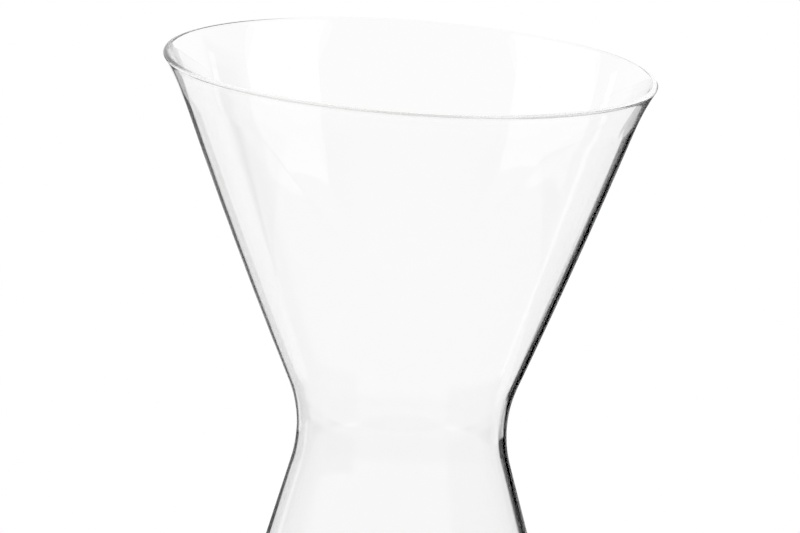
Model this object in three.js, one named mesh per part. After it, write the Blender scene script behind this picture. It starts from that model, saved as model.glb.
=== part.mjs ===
// A clear blown-glass carafe with an hourglass body: a wide conical vessel to stand on, a narrow waist
// to hold it by, and a tall funnel mouth whose lip flares softly and is rounded by the flame.
// The whole carafe is one piece of glass. Millimetres, +Z up, origin at the centre of the foot.

import * as THREE from "three";

// Driving dimensions of the outside of the glass.
const RIM_DIAMETER = 120;
const RIM_HEIGHT = 220;
const WAIST_DIAMETER = 51.3;
const WAIST_HEIGHT = 129.7;
const BODY_DIAMETER = 113.5;

// How one run of the outside wall turns into the next.
const WAIST_BLEND_RADIUS = 30.5;
const FUNNEL_BOW_RADIUS = 1550;
const LIP_FLARE_RADIUS = 58;
const LIP_ANGLE_DEG = 31.5;
const HEEL_RADIUS = 14;

// The mouth is cut a little off square to the axis, so the rim is lower on the +X side.
const MOUTH_SLANT_DEG = 2.1;

// Thickness of the glass. The wall swells along the flare to the rounded lip.
const WALL_THICKNESS = 1;
const LIP_THICKNESS = 1.5;
const FLOOR_THICKNESS = 4;

// The underside is a flat ring to stand on, round a shallow hollow that the floor inside follows.
const FOOT_RING_WIDTH = 5;
const PUNT_RISE = 3.5;
const INNER_HEEL_RADIUS = 11;

// Facets of the revolved surface and of the arcs of its profile.
const ROUND_STEPS = 64;
const DEGREES_PER_STEP = 10;
const LEAST_ARC_STEPS = 3;

// The profile lies in a plane of radius and height. Angles run from the radius towards the height.
const QUARTER_TURN = Math.PI / 2;
const HALF_TURN = Math.PI;

function polar(centre, radius, angle) {
  return new THREE.Vector2(Math.cos(angle), Math.sin(angle)).multiplyScalar(radius).add(centre);
}

// Points along an arc. A second radius makes it widen or narrow evenly on the way.
function arc(centre, from, to, radius, lastRadius = radius) {
  const turn = THREE.MathUtils.radToDeg(Math.abs(to - from));
  const steps = Math.max(LEAST_ARC_STEPS, Math.round(turn / DEGREES_PER_STEP));
  const points = [];
  for (let i = 0; i <= steps; i++) {
    const angle = THREE.MathUtils.lerp(from, to, i / steps);
    points.push(polar(centre, THREE.MathUtils.lerp(radius, lastRadius, i / steps), angle));
  }
  return points;
}

// Centre of the large arc that touches two smaller ones from the other side of the wall.
function bowCentre(low, lowRadius, high, highRadius, bowRadius) {
  const toLow = lowRadius + bowRadius;
  const toHigh = highRadius + bowRadius;
  const apart = low.distanceTo(high);
  const along = (apart ** 2 + toLow ** 2 - toHigh ** 2) / (2 * apart);
  const aside = Math.sqrt(toLow ** 2 - along ** 2);
  const direction = high.clone().sub(low).divideScalar(apart);
  const inward = new THREE.Vector2(-direction.y, direction.x);
  return low.clone().addScaledVector(direction, along).addScaledVector(inward, aside);
}

// Lean from upright of the straight wall that passes between two arcs on its opposite sides.
function leanBetween(high, highRadius, low, lowRadius) {
  const down = low.clone().sub(high);
  return Math.asin((highRadius + lowRadius) / down.length()) + Math.atan2(down.x, -down.y);
}

// The arcs that the wall is made of, with the lean of the wall where they meet.
function layOutWall() {
  const lipLean = THREE.MathUtils.degToRad(LIP_ANGLE_DEG);
  const lip = new THREE.Vector2(
    RIM_DIAMETER / 2 - LIP_THICKNESS / 2,
    RIM_HEIGHT - LIP_THICKNESS / 2,
  );
  const flare = polar(lip, LIP_THICKNESS / 2 + LIP_FLARE_RADIUS, -lipLean);
  const waist = new THREE.Vector2(WAIST_DIAMETER / 2 + WAIST_BLEND_RADIUS, WAIST_HEIGHT);
  const heel = new THREE.Vector2(BODY_DIAMETER / 2 - HEEL_RADIUS, HEEL_RADIUS);
  const bow = bowCentre(waist, WAIST_BLEND_RADIUS, flare, LIP_FLARE_RADIUS, FUNNEL_BOW_RADIUS);
  const bodyLean = leanBetween(waist, WAIST_BLEND_RADIUS, heel, HEEL_RADIUS);
  const neckLean = Math.atan2(bow.y - waist.y, waist.x - bow.x);
  const mouthLean = Math.atan2(bow.y - flare.y, flare.x - bow.x);
  return { lip, flare, waist, heel, bow, lipLean, mouthLean, neckLean, bodyLean };
}

// The floor inside: a dome that runs into the rounded corner, which runs into the wall.
function layOutFloor(wall) {
  const { heel, bodyLean } = wall;
  const inset = HEEL_RADIUS - WALL_THICKNESS - INNER_HEEL_RADIUS;
  const cornerHeight = FLOOR_THICKNESS + INNER_HEEL_RADIUS;
  const cornerReach = heel.x
    + (inset - (cornerHeight - heel.y) * Math.sin(bodyLean)) / Math.cos(bodyLean);
  const corner = new THREE.Vector2(cornerReach, cornerHeight);
  const depth = INNER_HEEL_RADIUS - PUNT_RISE;
  const domeRadius = (cornerReach ** 2 + depth ** 2 - INNER_HEEL_RADIUS ** 2) / (2 * PUNT_RISE);
  const dome = new THREE.Vector2(0, FLOOR_THICKNESS + PUNT_RISE - domeRadius);
  const domeEdge = corner.clone().sub(dome).angle();
  return { corner, dome, domeRadius, domeEdge };
}

// Outside of the glass, from the middle of the underside to the lip.
function outerProfile(wall) {
  const { flare, waist, heel, bow, lipLean, mouthLean, neckLean, bodyLean } = wall;
  const ringInner = heel.x - FOOT_RING_WIDTH;
  const puntRadius = (ringInner ** 2 + PUNT_RISE ** 2) / (2 * PUNT_RISE);
  const punt = new THREE.Vector2(0, PUNT_RISE - puntRadius);
  const puntEdge = Math.atan2(-punt.y, ringInner);
  return [
    ...arc(punt, QUARTER_TURN, puntEdge, puntRadius),
    ...arc(heel, -QUARTER_TURN, bodyLean, HEEL_RADIUS),
    ...arc(waist, HALF_TURN + bodyLean, HALF_TURN - neckLean, WAIST_BLEND_RADIUS),
    ...arc(bow, -neckLean, -mouthLean, FUNNEL_BOW_RADIUS),
    ...arc(flare, HALF_TURN - mouthLean, HALF_TURN - lipLean, LIP_FLARE_RADIUS),
  ];
}

// Inside of the glass, from the lip to the middle of the floor.
function innerProfile(wall) {
  const { flare, waist, bow, lipLean, mouthLean, neckLean, bodyLean } = wall;
  const { corner, dome, domeRadius, domeEdge } = layOutFloor(wall);
  const lipSide = LIP_FLARE_RADIUS + LIP_THICKNESS;
  const funnelSide = LIP_FLARE_RADIUS + WALL_THICKNESS;
  return [
    ...arc(flare, HALF_TURN - lipLean, HALF_TURN - mouthLean, lipSide, funnelSide),
    ...arc(bow, -mouthLean, -neckLean, FUNNEL_BOW_RADIUS - WALL_THICKNESS),
    ...arc(waist, HALF_TURN - neckLean, HALF_TURN + bodyLean, WAIST_BLEND_RADIUS + WALL_THICKNESS),
    ...arc(corner, bodyLean, domeEdge - HALF_TURN, INNER_HEEL_RADIUS),
    ...arc(dome, domeEdge, QUARTER_TURN, domeRadius),
  ];
}

// Points that follow one another, with each place where two arcs meet kept once.
function withoutRepeats(points) {
  const apart = LIP_THICKNESS / 100;
  return points.filter((point, i) => i === 0 || point.distanceTo(points[i - 1]) > apart);
}

// Slides the funnel's wall along itself, more towards the lip, until the mouth lies on its slant.
function slantMouth(geometry, wall) {
  const { lip, waist, flare, neckLean, mouthLean } = wall;
  const slope = Math.tan(THREE.MathUtils.degToRad(MOUTH_SLANT_DEG));
  const start = polar(waist, WAIST_BLEND_RADIUS, HALF_TURN - neckLean).y;
  const end = polar(flare, LIP_FLARE_RADIUS, HALF_TURN - mouthLean).y;
  const position = geometry.getAttribute("position");
  const point = new THREE.Vector3();
  for (let i = 0; i < position.count; i++) {
    point.fromBufferAttribute(position, i);
    const radius = Math.hypot(point.x, point.y);
    const share = THREE.MathUtils.clamp((point.z - start) / (end - start), 0, 1);
    if (share > 0) {
      const lift = -share * slope * lip.x * (point.x / radius);
      const widening = (radius + lift * Math.tan(mouthLean)) / radius;
      position.setXYZ(i, point.x * widening, point.y * widening, point.z + lift);
    }
  }
  geometry.computeVertexNormals();
}

function makeGlassBody() {
  const wall = layOutWall();
  const outer = outerProfile(wall);
  const lip = arc(wall.lip, -wall.lipLean, HALF_TURN - wall.lipLean, LIP_THICKNESS / 2);
  const inner = innerProfile(wall);
  const profile = withoutRepeats([...outer, ...lip, ...inner]);
  profile[0].x = 0;
  profile[profile.length - 1].x = 0;
  const geometry = new THREE.LatheGeometry(profile, ROUND_STEPS);
  geometry.rotateX(QUARTER_TURN);
  slantMouth(geometry, wall);
  const clearGlass = new THREE.MeshStandardMaterial({
    color: 0xf5f7f7,
    roughness: 0.03,
    metalness: 0,
    transparent: true,
    opacity: 0.3,
  });
  const glassBody = new THREE.Mesh(geometry, clearGlass);
  glassBody.name = "glass_body";
  return glassBody;
}

const carafe = new THREE.Group();
carafe.name = "carafe";
carafe.add(makeGlassBody());

export default carafe;
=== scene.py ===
"""Shapes, finishes and lights a clear blown-glass carafe in the frame of its CAD model.

The carafe is one piece of glass: a conical body to stand on, a narrow waist to hold it by and a tall
funnel mouth with a softly flared, fire-polished lip. It stands on white paper in a round light tent. Dark
panels in the tent draw the lines along the edges of the glass, grey ones shade it beside the lines, and
soft lamps lay pale patches and streaks on it.
"""

import logging
import math
from dataclasses import dataclass, field
from enum import Enum
from typing import Any

import bmesh
import bpy
from mathutils import Matrix, Vector


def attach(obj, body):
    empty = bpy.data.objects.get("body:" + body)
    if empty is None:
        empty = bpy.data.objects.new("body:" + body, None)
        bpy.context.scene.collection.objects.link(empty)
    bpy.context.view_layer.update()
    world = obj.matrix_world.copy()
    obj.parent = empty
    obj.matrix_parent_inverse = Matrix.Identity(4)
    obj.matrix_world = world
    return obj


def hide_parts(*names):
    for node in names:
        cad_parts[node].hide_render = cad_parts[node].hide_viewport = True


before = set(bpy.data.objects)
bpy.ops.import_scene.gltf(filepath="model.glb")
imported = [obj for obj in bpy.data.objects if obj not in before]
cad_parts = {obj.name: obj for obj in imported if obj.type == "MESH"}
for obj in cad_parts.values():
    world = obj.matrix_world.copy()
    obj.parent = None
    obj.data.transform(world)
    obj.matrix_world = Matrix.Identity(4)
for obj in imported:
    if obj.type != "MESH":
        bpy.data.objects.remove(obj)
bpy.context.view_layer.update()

LOG = logging.getLogger("carafe")
MM = 0.001
QUARTER_TURN = math.pi / 2
HALF_TURN = math.pi
FULL_TURN = 2 * math.pi
ORIGIN = Vector((0.0, 0.0, 0.0))
UPRIGHT = Vector((0.0, 0.0, 1.0))
ACROSS_PROFILE = Vector((0.0, 1.0, 0.0))

# Points closer than TOUCHING are one point, and a spun ring keeps its radius to within SPIN_ERROR.
TOUCHING = 0.001 * MM
SPIN_ERROR = 0.01 * MM


class Side(Enum):
    """A side of the set, as the camera sees it, by the sign of X there."""

    LEFT = -1
    RIGHT = 1


class Shown(Enum):
    """The looks at the tent, through the glass or mirrored in it, that a panel is there for."""

    THROUGH_AND_MIRRORED = "through the glass or mirrored in it"
    MIRRORED = "mirrored in the glass"
    MIRRORED_AGAIN = "mirrored in the glass twice or more"
    MIRRORED_INSIDE = "mirrored on a way through the inside of the carafe"


def linear_colour(hex_code: str) -> tuple[float, float, float, float]:
    """Turns an sRGB hex colour into the linear colour that shaders take, by the curve of that standard.

    Args:
        hex_code: The colour as "#RRGGBB".

    Returns:
        Linear red, green, blue and a full alpha.
    """
    channels = []
    for place in (1, 3, 5):
        value = int(hex_code[place:place + 2], 16) / 255
        channels.append(value / 12.92 if value <= 0.04045 else ((value + 0.055) / 1.055) ** 2.4)
    return (*channels, 1.0)


def add_node(
    tree: bpy.types.NodeTree,
    kind: str,
    settings: dict[str, Any] | None = None,
    inputs: dict[str | int, Any] | None = None,
) -> bpy.types.Node:
    """Adds a shader node with its settings, its input values and the links into it.

    Args:
        tree: The node tree to add to.
        kind: The node's type name, without the word ShaderNode.
        settings: Values of the node's own properties.
        inputs: Values of the node's inputs, or the output sockets that they are linked to.

    Returns:
        The new node.
    """
    node = tree.nodes.new(f"ShaderNode{kind}")
    for name, value in (settings or {}).items():
        setattr(node, name, value)
    for name, value in (inputs or {}).items():
        if isinstance(value, bpy.types.NodeSocket):
            tree.links.new(value, node.inputs[name])
        else:
            node.inputs[name].default_value = value
    return node


def empty_material(name: str) -> bpy.types.Material:
    """Returns a new material with an empty node tree."""
    material = bpy.data.materials.new(name)
    material.use_nodes = True
    material.node_tree.nodes.clear()
    return material


@dataclass(frozen=True)
class ClearGlass:
    """Clear soda-lime glass, blown into a mould and fire-polished.

    The skin is as smooth as a liquid, so it has no grain. What the eye finds in it are faint upright
    striae, drawn out as the glass was blown, which bend what is seen through the wall a little, and a
    grey that gathers where the eye looks a long way through the glass, in the edges, the lip and the foot.
    """

    name: str = "clear_blown_glass"
    colour: str = "#FDFDFD"
    depth_colour: str = "#BCBCBC"
    depth_density: float = 0.2
    refraction: float = 1.52
    roughness: float = 0.0
    striae_width: float = 7 * MM
    striae_stretch: float = 6.0
    striae_depth: float = 0.004 * MM
    striae_detail: float = 1.0

    def make(self) -> bpy.types.Material:
        """Returns the glass as a material."""
        material = empty_material(self.name)
        tree = material.node_tree
        place = add_node(tree, "TexCoord")
        drawn_out = add_node(
            tree,
            "Mapping",
            inputs={"Vector": place.outputs["Object"], "Scale": (1.0, 1.0, 1 / self.striae_stretch)},
        )
        striae = add_node(
            tree,
            "TexNoise",
            inputs={
                "Vector": drawn_out.outputs["Vector"],
                "Scale": 1 / self.striae_width,
                "Detail": self.striae_detail,
            },
        )
        bump = add_node(
            tree,
            "Bump",
            inputs={"Height": striae.outputs["Fac"], "Distance": self.striae_depth, "Strength": 1.0},
        )
        glass = add_node(
            tree,
            "BsdfPrincipled",
            inputs={
                "Base Color": linear_colour(self.colour),
                "Roughness": self.roughness,
                "IOR": self.refraction,
                "Transmission Weight": 1.0,
                "Normal": bump.outputs["Normal"],
            },
        )
        depth = add_node(
            tree,
            "VolumeAbsorption",
            inputs={"Color": linear_colour(self.depth_colour), "Density": self.depth_density},
        )
        add_node(
            tree,
            "OutputMaterial",
            inputs={"Surface": glass.outputs["BSDF"], "Volume": depth.outputs["Volume"]},
        )
        return material


def polar(centre: Vector, radius: float, angle: float) -> Vector:
    """Returns the point of a circle in the plane of X and Z, at an angle from +X towards +Z."""
    return centre + Vector((math.cos(angle), 0.0, math.sin(angle))) * radius


def heading(start: Vector, end: Vector) -> float:
    """Returns the angle, from +X towards +Z, of the way from one point to another."""
    return math.atan2(end.z - start.z, end.x - start.x)


@dataclass(frozen=True)
class Arc:
    """A round stretch of the glass's profile, which lies in the plane of X and Z.

    Angles run from +X towards +Z, in radians.
    """

    centre: Vector
    radius: float
    start: float
    end: float

    def start_point(self) -> Vector:
        """Returns where the arc starts."""
        return polar(self.centre, self.radius, self.start)

    def end_point(self) -> Vector:
        """Returns where the arc ends."""
        return polar(self.centre, self.radius, self.end)


class ProfilePen:
    """Draws a profile in the plane of X and Z, from one vertex that is spun and extruded onwards."""

    STEP = math.radians(3.0)
    LEAST_STEPS = 6

    def __init__(self, name: str, start: Vector) -> None:
        """Puts down the first vertex and stays in edit mode.

        Args:
            name: Name of the object that is drawn.
            start: Where the profile starts.
        """
        bpy.ops.object.select_all(action="DESELECT")
        bpy.ops.mesh.primitive_plane_add(size=MM, location=ORIGIN)
        self.drawn = bpy.context.object
        self.drawn.name = name
        self.drawn.data.name = name
        bpy.ops.object.mode_set(mode="EDIT")
        bpy.ops.mesh.merge(type="CENTER")
        bpy.ops.transform.translate(value=start)
        self.tip = start.copy()

    def line_to(self, end: Vector) -> None:
        """Draws a straight stretch to a point, unless the pen is there already."""
        if (end - self.tip).length > TOUCHING:
            bpy.ops.mesh.extrude_region_move(TRANSFORM_OT_translate={"value": end - self.tip})
            self.tip = end.copy()

    def follow(self, arc: Arc) -> None:
        """Draws a straight stretch to the start of an arc and then the arc."""
        self.line_to(arc.start_point())
        turn = arc.end - arc.start
        steps = max(self.LEAST_STEPS, math.ceil(abs(turn) / self.STEP))
        bpy.ops.mesh.spin(steps=steps, angle=turn, center=arc.centre, axis=ACROSS_PROFILE)
        self.tip = arc.end_point()


@dataclass
class GlassBody:
    """The whole carafe, one wall of glass revolved round its axis. Sizes are in metres, angles in radians."""

    rim_diameter: float = 120 * MM
    rim_height: float = 220 * MM
    waist_diameter: float = 51.3 * MM
    waist_height: float = 129.7 * MM
    body_diameter: float = 113.5 * MM
    waist_blend_radius: float = 30.5 * MM
    funnel_bow_radius: float = 1550 * MM
    lip_flare_radius: float = 58 * MM
    heel_radius: float = 14 * MM
    wall_thickness: float = 1 * MM
    lip_thickness: float = 1.5 * MM
    floor_thickness: float = 4 * MM
    foot_ring_width: float = 5 * MM
    foot_edge_round: float = 1.2 * MM
    punt_rise: float = 3.5 * MM
    inner_heel_radius: float = 11 * MM
    lip_angle: float = math.radians(31.5)
    mouth_slant: float = math.radians(2.1)
    round_steps: int = 256
    foot_edge_steps: int = 4
    node: str = "glass_body"
    rides_on: str = "root"
    slot: str = "clear_glass"
    lip: Vector = field(init=False)
    flare: Vector = field(init=False)
    bow: Vector = field(init=False)
    waist: Vector = field(init=False)
    heel: Vector = field(init=False)
    mouth_lean: float = field(init=False)
    neck_lean: float = field(init=False)
    body_lean: float = field(init=False)
    glass: bpy.types.Object | None = field(default=None, init=False)

    def __post_init__(self) -> None:
        """Works out the centres of the outside wall's arcs, and the lean of the wall where they meet."""
        lip_round = self.lip_thickness / 2
        self.lip = Vector((self.rim_diameter / 2 - lip_round, 0.0, self.rim_height - lip_round))
        self.flare = polar(self.lip, lip_round + self.lip_flare_radius, -self.lip_angle)
        waist_reach = self.waist_diameter / 2 + self.waist_blend_radius
        self.waist = Vector((waist_reach, 0.0, self.waist_height))
        self.heel = Vector((self.body_diameter / 2 - self.heel_radius, 0.0, self.heel_radius))
        self.bow = self.arc_centre(
            self.waist,
            self.waist_blend_radius + self.funnel_bow_radius,
            self.flare,
            self.lip_flare_radius + self.funnel_bow_radius,
        )
        down = self.heel - self.waist
        crossing = math.asin((self.waist_blend_radius + self.heel_radius) / down.length)
        self.body_lean = crossing + math.atan2(down.x, -down.z)
        self.neck_lean = -heading(self.bow, self.waist)
        self.mouth_lean = -heading(self.bow, self.flare)

    @staticmethod
    def arc_centre(first: Vector, to_first: float, second: Vector, to_second: float) -> Vector:
        """Finds the centre of an arc, on the left of the way from one point to another.

        Args:
            first: The point that the way starts from.
            to_first: The centre's distance from there.
            second: The point that the way goes to.
            to_second: The centre's distance from there.

        Returns:
            The centre.
        """
        apart = (second - first).length
        along = (apart ** 2 + to_first ** 2 - to_second ** 2) / (2 * apart)
        aside = math.sqrt(to_first ** 2 - along ** 2)
        direction = (second - first) / apart
        left = Vector((-direction.z, 0.0, direction.x))
        return first + direction * along + left * aside

    def outside(self) -> list[Arc]:
        """Returns the arcs of the outside, from the middle of the underside to the lip."""
        ring_inner = self.heel.x - self.foot_ring_width
        punt_radius = (ring_inner ** 2 + self.punt_rise ** 2) / (2 * self.punt_rise)
        punt = Vector((0.0, 0.0, self.punt_rise - punt_radius))
        punt_edge = math.atan2(-punt.z, ring_inner)
        return [
            Arc(punt, punt_radius, QUARTER_TURN, punt_edge),
            Arc(self.heel, self.heel_radius, -QUARTER_TURN, self.body_lean),
            Arc(
                self.waist,
                self.waist_blend_radius,
                HALF_TURN + self.body_lean,
                HALF_TURN - self.neck_lean,
            ),
            Arc(self.bow, self.funnel_bow_radius, -self.neck_lean, -self.mouth_lean),
            Arc(self.flare, self.lip_flare_radius, HALF_TURN - self.mouth_lean, HALF_TURN - self.lip_angle),
            Arc(self.lip, self.lip_thickness / 2, -self.lip_angle, HALF_TURN - self.lip_angle),
        ]

    def inside(self) -> list[Arc]:
        """Returns the arcs of the inside, from the lip to the middle of the floor.

        The flare inside starts higher than the one outside, so that the wall swells to the lip.
        """
        lip_end = polar(self.lip, self.lip_thickness / 2, HALF_TURN - self.lip_angle)
        flare_radius = self.lip_flare_radius + self.wall_thickness
        bow_radius = self.funnel_bow_radius - self.wall_thickness
        flare = self.arc_centre(lip_end, flare_radius, self.bow, bow_radius + flare_radius)
        return [
            Arc(flare, flare_radius, heading(flare, lip_end), heading(flare, self.bow)),
            Arc(self.bow, bow_radius, heading(self.bow, flare), -self.neck_lean),
            Arc(
                self.waist,
                self.waist_blend_radius + self.wall_thickness,
                HALF_TURN - self.neck_lean,
                HALF_TURN + self.body_lean,
            ),
            *self.inner_floor(),
        ]

    def inner_floor(self) -> list[Arc]:
        """Returns the rounded inner corner and the dome of the floor, which runs into it."""
        inset = self.heel_radius - self.wall_thickness - self.inner_heel_radius
        height = self.floor_thickness + self.inner_heel_radius
        rise = (height - self.heel.z) * math.sin(self.body_lean)
        corner = Vector((self.heel.x + (inset - rise) / math.cos(self.body_lean), 0.0, height))
        depth = self.inner_heel_radius - self.punt_rise
        dome_radius = (corner.x ** 2 + depth ** 2 - self.inner_heel_radius ** 2) / (2 * self.punt_rise)
        dome = Vector((0.0, 0.0, self.floor_thickness + self.punt_rise - dome_radius))
        dome_edge = heading(dome, corner)
        return [
            Arc(corner, self.inner_heel_radius, self.body_lean, dome_edge - HALF_TURN),
            Arc(dome, dome_radius, dome_edge, QUARTER_TURN),
        ]

    def build(self) -> None:
        """Draws the profile, revolves it, rounds the foot and slants the mouth."""
        arcs = [*self.outside(), *self.inside()]
        pen = ProfilePen("carafe_glass", arcs[0].start_point())
        for arc in arcs:
            pen.follow(arc)
        self.glass = pen.drawn
        bpy.ops.mesh.select_all(action="SELECT")
        bpy.ops.mesh.spin(steps=self.round_steps, angle=FULL_TURN, center=ORIGIN, axis=UPRIGHT)
        bpy.ops.mesh.select_all(action="SELECT")
        bpy.ops.mesh.remove_doubles(threshold=TOUCHING)
        bpy.ops.mesh.normals_make_consistent(inside=False)
        self.round_foot()
        self.slant_mouth()
        bpy.ops.object.mode_set(mode="OBJECT")
        bpy.ops.object.shade_smooth()

    def round_foot(self) -> None:
        """Rounds the edge between the hollow under the foot and the ring that the carafe stands on."""
        ring_inner = self.heel.x - self.foot_ring_width
        bpy.ops.mesh.select_all(action="DESELECT")
        bpy.ops.mesh.select_mode(type="EDGE")
        mesh = bmesh.from_edit_mesh(self.glass.data)
        for edge in mesh.edges:
            on_edge = [
                vertex.co.z < TOUCHING and abs(vertex.co.xy.length - ring_inner) < SPIN_ERROR
                for vertex in edge.verts
            ]
            edge.select_set(all(on_edge))
        bmesh.update_edit_mesh(self.glass.data)
        bpy.ops.mesh.bevel(offset=self.foot_edge_round, segments=self.foot_edge_steps)
        bpy.ops.mesh.select_mode(type="VERT")

    def slant_mouth(self) -> None:
        """Turns the funnel's rings, more towards the lip, until the mouth is slanted.

        A ring that turns leaves the leaning wall, so it also moves sideways, which brings it back there.
        """
        start = polar(self.waist, self.waist_blend_radius, HALF_TURN - self.neck_lean).z
        end = polar(self.flare, self.lip_flare_radius, HALF_TURN - self.mouth_lean).z
        slide = math.tan(self.mouth_slant) * self.lip.x * math.tan(self.mouth_lean)
        mesh = bmesh.from_edit_mesh(self.glass.data)
        rings: dict[int, list[int]] = {}
        for vertex in mesh.verts:
            if vertex.co.z > start + TOUCHING:
                rings.setdefault(round(vertex.co.z / TOUCHING), []).append(vertex.index)
        for level, ring in rings.items():
            height = level * TOUCHING
            share = min(1.0, (height - start) / (end - start))
            bpy.ops.mesh.select_all(action="DESELECT")
            mesh = bmesh.from_edit_mesh(self.glass.data)
            mesh.verts.ensure_lookup_table()
            for index in ring:
                mesh.verts[index].select_set(True)
            bmesh.update_edit_mesh(self.glass.data)
            bpy.ops.transform.rotate(
                value=-share * self.mouth_slant,
                orient_axis="Y",
                center_override=(0.0, 0.0, height),
            )
            bpy.ops.transform.translate(value=(-share * slide, 0.0, 0.0))

    def dress(self, finish: ClearGlass) -> None:
        """Gives the glass its finish and puts it in the place of the CAD solid.

        Args:
            finish: The glass that it is made of.
        """
        self.glass.data.materials.clear()
        self.glass.data.materials.append(finish.make())
        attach(self.glass, self.rides_on)
        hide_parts(self.node)


@dataclass(frozen=True)
class WhitePaper:
    """Smooth, matt white background paper, on which the eye finds only the carafe's soft shadow.

    Away from the carafe and towards its front edge the paper fades into the white of the tent. A share of
    that white, least_white, lightens the shadow as well.
    """

    name: str = "white_background_paper"
    colour: str = "#F4F4F2"
    roughness: float = 0.9
    fade_start: float = 50 * MM
    fade_end: float = 163 * MM
    front_fade_start: float = 95 * MM
    front_fade_end: float = 143 * MM
    least_white: float = 0.3

    def white_share(self, tree: bpy.types.NodeTree) -> bpy.types.NodeSocket:
        """Adds nodes that say how much of the paper is the plain white of the tent.

        Args:
            tree: The node tree to add to.

        Returns:
            A socket that is 1 where the eye finds the paper plain white, and 0 for light that it scatters.
        """
        place = add_node(tree, "TexCoord")
        reach = add_node(tree, "VectorMath", {"operation": "LENGTH"}, {0: place.outputs["Object"]})
        split = add_node(tree, "SeparateXYZ", inputs={"Vector": place.outputs["Object"]})
        white = self.least_white
        for distance, start, end in (
            (reach.outputs["Value"], self.fade_start, self.fade_end),
            (split.outputs["Y"], -self.front_fade_start, -self.front_fade_end),
        ):
            fade = add_node(
                tree,
                "MapRange",
                {"interpolation_type": "SMOOTHSTEP"},
                {"Value": distance, "From Min": start, "From Max": end},
            )
            whiter = add_node(tree, "Math", {"operation": "MAXIMUM"}, {0: fade.outputs["Result"], 1: white})
            white = whiter.outputs["Value"]
        ray = add_node(tree, "LightPath")
        seen = ray.outputs["Is Camera Ray"]
        for kind in ("Is Glossy Ray", "Is Transmission Ray"):
            either = add_node(tree, "Math", {"operation": "MAXIMUM"}, {0: seen, 1: ray.outputs[kind]})
            seen = either.outputs["Value"]
        share = add_node(tree, "Math", {"operation": "MULTIPLY"}, {0: white, 1: seen})
        return share.outputs["Value"]

    def make(self) -> bpy.types.Material:
        """Returns the paper as a material."""
        material = empty_material(self.name)
        tree = material.node_tree
        paper = add_node(
            tree,
            "BsdfPrincipled",
            inputs={"Base Color": linear_colour(self.colour), "Roughness": self.roughness},
        )
        white = add_node(tree, "Emission", inputs={"Strength": 1.0})
        mixed = add_node(
            tree,
            "MixShader",
            inputs={
                "Fac": self.white_share(tree),
                1: paper.outputs["BSDF"],
                2: white.outputs["Emission"],
            },
        )
        add_node(tree, "OutputMaterial", inputs={"Surface": mixed.outputs["Shader"]})
        return material


@dataclass(frozen=True)
class LookingWay:
    """What the nodes of the world know about a look at the tent. Angles are in radians.

    For each kind of look that a panel can be there for, sees is 1 if this look is of that kind, or else 0.
    """

    azimuth: bpy.types.NodeSocket
    elevation: bpy.types.NodeSocket
    sees: dict[Shown, bpy.types.NodeSocket | float]


@dataclass(frozen=True)
class TentPanel:
    """A panel in the wall of the tent that is darker than the white cloth.

    Azimuths run from +Y towards +X and elevations up from the horizon, in degrees. The fades say how far
    beyond these limits the panel runs out into the cloth. Level is its light as a share of the cloth's.
    """

    azimuths: tuple[float, float]
    side_fade: float
    elevations: tuple[float, float]
    end_fade: float
    level: float = 0.0

    @staticmethod
    def within(
        tree: bpy.types.NodeTree,
        angle: bpy.types.NodeSocket,
        limits: tuple[float, float],
        fade: float,
    ) -> bpy.types.NodeSocket:
        """Adds nodes that say how far an angle lies within two limits.

        Args:
            tree: The node tree to add to.
            angle: The angle, in radians.
            limits: The lower and the upper limit, in degrees.
            fade: How far beyond the limits the panel runs out, in degrees.

        Returns:
            A socket that is 1 within the limits and 0 beyond the fade.
        """
        low, high = limits
        middle = math.radians((low + high) / 2)
        half = math.radians((high - low) / 2)
        offset = add_node(tree, "Math", {"operation": "SUBTRACT"}, {0: angle, 1: middle})
        nearest = add_node(
            tree,
            "Math",
            {"operation": "WRAP"},
            {0: offset.outputs["Value"], 1: HALF_TURN, 2: -HALF_TURN},
        )
        aside = add_node(tree, "Math", {"operation": "ABSOLUTE"}, {0: nearest.outputs["Value"]})
        share = add_node(
            tree,
            "MapRange",
            {"interpolation_type": "SMOOTHSTEP"},
            {
                "Value": aside.outputs["Value"],
                "From Min": half,
                "From Max": half + math.radians(fade),
                "To Min": 1.0,
                "To Max": 0.0,
            },
        )
        return share.outputs["Result"]

    def dim(
        self,
        tree: bpy.types.NodeTree,
        way: LookingWay,
        shown: Shown,
        light: bpy.types.NodeSocket | float,
    ) -> bpy.types.NodeSocket:
        """Adds nodes that dim the tent's light where the panel hangs.

        Args:
            tree: The node tree to add to.
            way: The way that is looked in.
            shown: The looks that the panel is there for.
            light: The light that the panels before this one leave.

        Returns:
            The light that is left with this panel.
        """
        across = self.within(tree, way.azimuth, self.azimuths, self.side_fade)
        upright = self.within(tree, way.elevation, self.elevations, self.end_fade)
        covered = add_node(tree, "Math", {"operation": "MULTIPLY"}, {0: across, 1: upright})
        share = add_node(
            tree,
            "Math",
            {"operation": "MULTIPLY"},
            {0: covered.outputs["Value"], 1: way.sees[shown]},
        )
        kept = add_node(
            tree,
            "Math",
            {"operation": "MULTIPLY_ADD"},
            {0: share.outputs["Value"], 1: self.level - 1, 2: 1.0},
        )
        lit = add_node(tree, "Math", {"operation": "MULTIPLY"}, {0: light, 1: kept.outputs["Value"]})
        return lit.outputs["Value"]


@dataclass(frozen=True)
class PanelSet:
    """Panels that draw one thing in the glass, and the looks at the tent that they are there for."""

    shown: Shown
    panels: tuple[TentPanel, ...]


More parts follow.
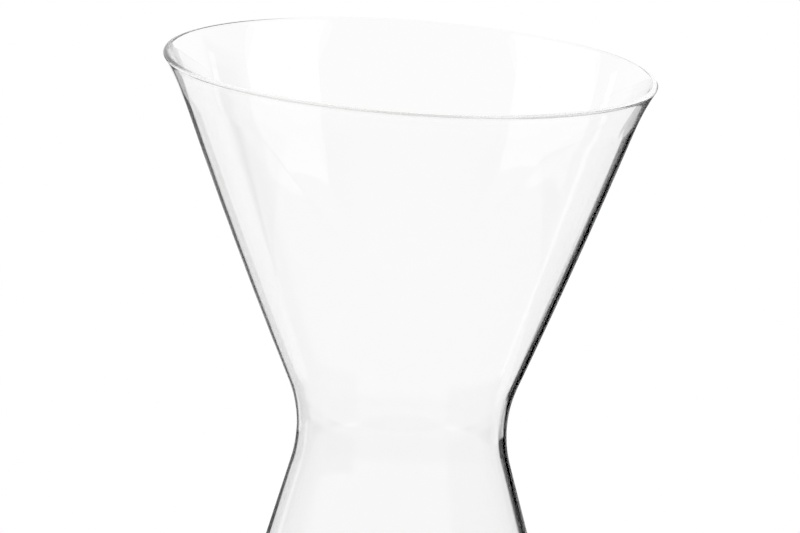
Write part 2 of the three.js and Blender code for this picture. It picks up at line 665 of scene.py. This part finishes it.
# The dark line down the right edge, where the eye looks through the edge of the wall. In their order the
# panels draw it at the waist, on the lower cone, there as seen from low down, and up the funnel to the lip.
RIGHT_LINE = PanelSet(
    shown=Shown.THROUGH_AND_MIRRORED,
    panels=(
        TentPanel(azimuths=(10, 44), side_fade=1.2, elevations=(-12.8, -7.5), end_fade=1),
        TentPanel(azimuths=(10, 36.8), side_fade=1.2, elevations=(-8, -2.8), end_fade=0.7),
        TentPanel(azimuths=(10, 21), side_fade=1.2, elevations=(-3, 4), end_fade=1),
        TentPanel(azimuths=(12, 27), side_fade=1, elevations=(-15.3, -12.5), end_fade=0.6),
        TentPanel(azimuths=(11, 27), side_fade=1, elevations=(-20, -15.6), end_fade=0.5),
        TentPanel(azimuths=(11, 29.3), side_fade=0.8, elevations=(-23.2, -20), end_fade=0.4),
        TentPanel(azimuths=(11, 30.3), side_fade=0.6, elevations=(-24.4, -23.2), end_fade=0.3),
        TentPanel(azimuths=(11, 34), side_fade=1, elevations=(-26, -24.7), end_fade=0.3),
        TentPanel(azimuths=(11, 25), side_fade=1.5, elevations=(-45, -25), end_fade=0.8),
    ),
)

# What the wall itself mirrors into that line.
RIGHT_LINE_MIRRORED = PanelSet(
    shown=Shown.MIRRORED,
    panels=(TentPanel(azimuths=(6, 11), side_fade=1, elevations=(-16.5, -8.8), end_fade=0.7, level=0.1),),
)

# The thinner line down the left edge: at the waist and on the lower cone, then up the funnel.
LEFT_LINE = PanelSet(
    shown=Shown.MIRRORED,
    panels=(
        TentPanel(azimuths=(-25, -7), side_fade=1.5, elevations=(-12.5, -7.2), end_fade=0.7, level=0.05),
        TentPanel(azimuths=(-21.5, -11.5), side_fade=1.5, elevations=(-22, -12.5), end_fade=1, level=0.05),
    ),
)

# The edge lines of the lower cone as they are seen from higher up and further round, left and right.
LINES_FROM_ASIDE = PanelSet(
    shown=Shown.MIRRORED,
    panels=(
        TentPanel(azimuths=(-69, -61), side_fade=1.5, elevations=(-35, -29.5), end_fade=0.8, level=0.55),
        TentPanel(azimuths=(-31.5, -23), side_fade=1, elevations=(-34, -28.6), end_fade=0.8, level=0.1),
    ),
)

# The soft grey beside the lines: close to the left one and further in, then close to the right one on the
# lower cone and on the funnel, and further in.
GREY_SIDES = PanelSet(
    shown=Shown.MIRRORED,
    panels=(
        TentPanel(azimuths=(-50, -24), side_fade=4, elevations=(-45, 3), end_fade=4, level=0.95),
        TentPanel(azimuths=(-124, -54), side_fade=6, elevations=(-20, 5), end_fade=5, level=0.5),
        TentPanel(azimuths=(37, 52), side_fade=2.5, elevations=(-11, 0), end_fade=2, level=0.5),
        TentPanel(azimuths=(30, 54), side_fade=6, elevations=(-45, -14), end_fade=4, level=0.87),
        TentPanel(azimuths=(57, 124), side_fade=6, elevations=(-20, 14), end_fade=4, level=0.6),
    ),
)

# The dimmer room behind the camera: first its floor, then all of it.
DIM_ROOM = PanelSet(
    shown=Shown.MIRRORED,
    panels=(
        TentPanel(azimuths=(100, 260), side_fade=20, elevations=(-30, -8), end_fade=8, level=0.65),
        TentPanel(azimuths=(80, 280), side_fade=40, elevations=(-46, 70), end_fade=8, level=0.8),
    ),
)

# Whatever the glass mirrors twice or more, all round.
DIM_REPEATS = PanelSet(
    shown=Shown.MIRRORED_AGAIN,
    panels=(TentPanel(azimuths=(-180, 180), side_fade=1, elevations=(-90, 90), end_fade=1, level=0.7),),
)

# What the far wall mirrors into the right line, which is dark so that the line stays dark right across.
RIGHT_LINE_INSIDE = PanelSet(
    shown=Shown.MIRRORED_INSIDE,
    panels=(TentPanel(azimuths=(-12, 4), side_fade=2, elevations=(-18, -5), end_fade=1),),
)


@dataclass
class LightTent:
    """The white light tent all round the carafe, with its panels, as the world's light.

    A ray that is mirrored more often than most_mirrorings runs along inside the wall, and panels that are
    only shown mirrored aren't there for it. One that goes through more surfaces than crossings_of_a_wall
    has been inside the carafe.
    """

    panel_sets: tuple[PanelSet, ...] = (
        RIGHT_LINE,
        RIGHT_LINE_MIRRORED,
        LEFT_LINE,
        LINES_FROM_ASIDE,
        GREY_SIDES,
        DIM_ROOM,
        DIM_REPEATS,
        RIGHT_LINE_INSIDE,
    )
    most_mirrorings: int = 4
    crossings_of_a_wall: int = 2

    def looking_way(self, tree: bpy.types.NodeTree, ray: bpy.types.Node) -> LookingWay:
        """Adds nodes that tell which way a ray looks at the tent, and which panels are there for it.

        Args:
            tree: The node tree to add to.
            ray: The node that knows what the ray has met.

        Returns:
            The way that is looked in.
        """
        direction = add_node(tree, "TexCoord")
        split = add_node(tree, "SeparateXYZ", inputs={"Vector": direction.outputs["Generated"]})
        azimuth = add_node(
            tree,
            "Math",
            {"operation": "ARCTAN2"},
            {0: split.outputs["X"], 1: split.outputs["Y"]},
        )
        elevation = add_node(tree, "Math", {"operation": "ARCSINE"}, {0: split.outputs["Z"]})
        sees: dict[Shown, bpy.types.NodeSocket | float] = {Shown.THROUGH_AND_MIRRORED: 1.0}
        for shown, least in ((Shown.MIRRORED, 1), (Shown.MIRRORED_AGAIN, 2)):
            counts = add_node(
                tree,
                "Math",
                {"operation": "COMPARE"},
                {
                    0: ray.outputs["Glossy Depth"],
                    1: (least + self.most_mirrorings) / 2,
                    2: (self.most_mirrorings - least + 1) / 2,
                },
            )
            sees[shown] = counts.outputs["Value"]
        crosses = add_node(
            tree,
            "Math",
            {"operation": "GREATER_THAN"},
            {0: ray.outputs["Transmission Depth"], 1: self.crossings_of_a_wall},
        )
        inside = add_node(
            tree,
            "Math",
            {"operation": "MULTIPLY"},
            {0: sees[Shown.MIRRORED], 1: crosses.outputs["Value"]},
        )
        sees[Shown.MIRRORED_INSIDE] = inside.outputs["Value"]
        return LookingWay(azimuth.outputs["Value"], elevation.outputs["Value"], sees)

    def build(self) -> bpy.types.World:
        """Makes the world from the panels: white to the camera, and the tent to the glass.

        Returns:
            The world.
        """
        world = bpy.data.worlds.new("light_tent")
        world.use_nodes = True
        tree = world.node_tree
        tree.nodes.clear()
        ray = add_node(tree, "LightPath")
        way = self.looking_way(tree, ray)
        light: bpy.types.NodeSocket | float = 1.0
        for panel_set in self.panel_sets:
            for panel in panel_set.panels:
                light = panel.dim(tree, way, panel_set.shown, light)
        glass_ray = add_node(
            tree,
            "Math",
            {"operation": "MAXIMUM"},
            {0: ray.outputs["Is Glossy Ray"], 1: ray.outputs["Is Transmission Ray"]},
        )
        dimmed = add_node(tree, "Math", {"operation": "SUBTRACT"}, {0: light, 1: 1.0})
        level = add_node(
            tree,
            "Math",
            {"operation": "MULTIPLY_ADD"},
            {0: dimmed.outputs["Value"], 1: glass_ray.outputs["Value"], 2: 1.0},
        )
        tent = add_node(
            tree,
            "Background",
            inputs={"Color": (1.0, 1.0, 1.0, 1.0), "Strength": level.outputs["Value"]},
        )
        add_node(tree, "OutputWorld", inputs={"Surface": tent.outputs["Background"]})
        bpy.context.scene.world = world
        return world


@dataclass(kw_only=True)
class Softbox:
    """A large upright soft lamp on one side of the camera, which lays a pale patch on the funnel.

    Its plane is square to the way from the carafe that facing gives, as an azimuth from +Y, and its near
    edge is the one nearer to the camera. Level is its brightness as a share of the white cloth's.
    """

    side: Side
    near_edge: float
    far_edge: float
    bottom: float
    top: float
    level: float = 0.42
    facing: float = math.radians(130.0)
    distance: float = 90 * MM
    name: str = "softbox"

    # Watts for each square metre of a lamp that is as bright as the white cloth.
    POWER_PER_LEVEL = math.pi

    def build(self) -> bpy.types.Object:
        """Adds the lamp.

        Returns:
            The lamp's object.
        """
        outwards = Vector((self.side.value * math.sin(self.facing), math.cos(self.facing), 0.0))
        backwards = Vector((-self.side.value * math.cos(self.facing), math.sin(self.facing), 0.0))
        middle = outwards * self.distance + backwards * (self.near_edge + self.far_edge) / 2
        middle.z = (self.bottom + self.top) / 2
        bpy.ops.object.select_all(action="DESELECT")
        bpy.ops.object.light_add(
            type="AREA",
            location=middle,
            rotation=outwards.to_track_quat("Z", "Y").to_euler(),
        )
        lamp = bpy.context.object
        lamp.name = f"{self.name}_{self.side.name.lower()}"
        lamp.data.shape = "RECTANGLE"
        lamp.data.size = self.far_edge - self.near_edge
        lamp.data.size_y = self.top - self.bottom
        lamp.data.energy = self.POWER_PER_LEVEL * self.level * lamp.data.size * lamp.data.size_y
        lamp.visible_camera = False
        return lamp


@dataclass(kw_only=True)
class StripLight(Softbox):
    """A narrow upright lamp behind the carafe on one side, which draws a thin streak down the funnel."""

    near_edge: float = -14 * MM
    far_edge: float = 14 * MM
    level: float = 0.5
    facing: float = math.radians(50.0)
    distance: float = 350 * MM
    name: str = "strip_light"


@dataclass
class PaperFloor:
    """The sheet of paper under the carafe, round at the sides and cut straight in front and behind."""

    radius: float = 260 * MM
    front_edge: float = 145 * MM
    back_edge: float = 165 * MM
    round_steps: int = 96

    def build(self, finish: WhitePaper) -> bpy.types.Object:
        """Adds the sheet.

        Args:
            finish: The paper that it is made of.

        Returns:
            The floor's object.
        """
        bpy.ops.object.select_all(action="DESELECT")
        bpy.ops.mesh.primitive_circle_add(
            vertices=self.round_steps,
            radius=self.radius,
            fill_type="NGON",
            location=ORIGIN,
        )
        floor = bpy.context.object
        floor.name = "paper_floor"
        bpy.ops.object.mode_set(mode="EDIT")
        for edge in (-self.front_edge, self.back_edge):
            bpy.ops.mesh.select_all(action="SELECT")
            bpy.ops.mesh.bisect(plane_co=(0.0, edge, 0.0), plane_no=(0.0, edge, 0.0), clear_outer=True)
        bpy.ops.object.mode_set(mode="OBJECT")
        floor.data.materials.append(finish.make())
        return floor


@dataclass
class PhotoCamera:
    """The camera where the photograph was taken from, with a long lens, a little above the mouth.

    The picture is frame_width wide at the carafe. The sensor's width is in millimetres, as Blender has it.
    """

    distance: float = 2.5
    elevation: float = math.radians(12.0)
    roll: float = math.radians(2.0)
    aim: Vector = field(default_factory=lambda: Vector((-1.76 * MM, 0.0, 170.12 * MM)))
    frame_width: float = 194.3 * MM
    sensor_width: float = 36.0

    def build(self) -> bpy.types.Object:
        """Adds the camera and makes it the scene's.

        Returns:
            The camera's object.
        """
        back = Vector((0.0, -math.cos(self.elevation), math.sin(self.elevation)))
        level = (-back).to_track_quat("-Z", "Y").to_matrix()
        bpy.ops.object.select_all(action="DESELECT")
        bpy.ops.object.camera_add(
            location=self.aim + back * self.distance,
            rotation=(level @ Matrix.Rotation(self.roll, 3, "Z")).to_euler(),
        )
        camera = bpy.context.object
        camera.name = "photo_camera"
        camera.data.sensor_width = self.sensor_width
        camera.data.lens = self.sensor_width * self.distance / self.frame_width
        bpy.context.scene.camera = camera
        return camera


def set_up_render(light_bounces: int = 1024) -> None:
    """Sets plain colours, and lets light run along inside the wall of the glass from lip to foot.

    Args:
        light_bounces: How often a ray may be turned before it is given up.
    """
    scene = bpy.context.scene
    scene.view_settings.view_transform = "Standard"
    scene.cycles.max_bounces = light_bounces
    scene.cycles.glossy_bounces = light_bounces
    scene.cycles.transmission_bounces = light_bounces


def main() -> None:
    """Builds the carafe, then the set round it, and reports each piece."""
    logging.basicConfig(level=logging.INFO, format="%(name)s: %(message)s")
    set_up_render()
    camera = PhotoCamera().build()
    LOG.info("%s: %.0f mm lens", camera.name, camera.data.lens)
    carafe = GlassBody()
    carafe.build()
    carafe.dress(ClearGlass())
    LOG.info("%s: %d faces", carafe.glass.name, len(carafe.glass.data.polygons))
    floor = PaperFloor().build(WhitePaper())
    LOG.info("%s: %.2f m across", floor.name, floor.dimensions.x)
    tent = LightTent().build()
    LOG.info("%s: %d nodes", tent.name, len(tent.node_tree.nodes))
    for softbox in (
        Softbox(side=Side.RIGHT, near_edge=31 * MM, far_edge=160 * MM, bottom=249 * MM, top=500 * MM),
        Softbox(side=Side.LEFT, near_edge=40 * MM, far_edge=250 * MM, bottom=253 * MM, top=500 * MM),
        StripLight(side=Side.RIGHT, bottom=225 * MM, top=300 * MM),
        StripLight(side=Side.LEFT, bottom=190 * MM, top=320 * MM),
    ):
        lamp = softbox.build()
        LOG.info("%s: %.4f W", lamp.name, lamp.data.energy)


if __name__ == "__main__":
    main()
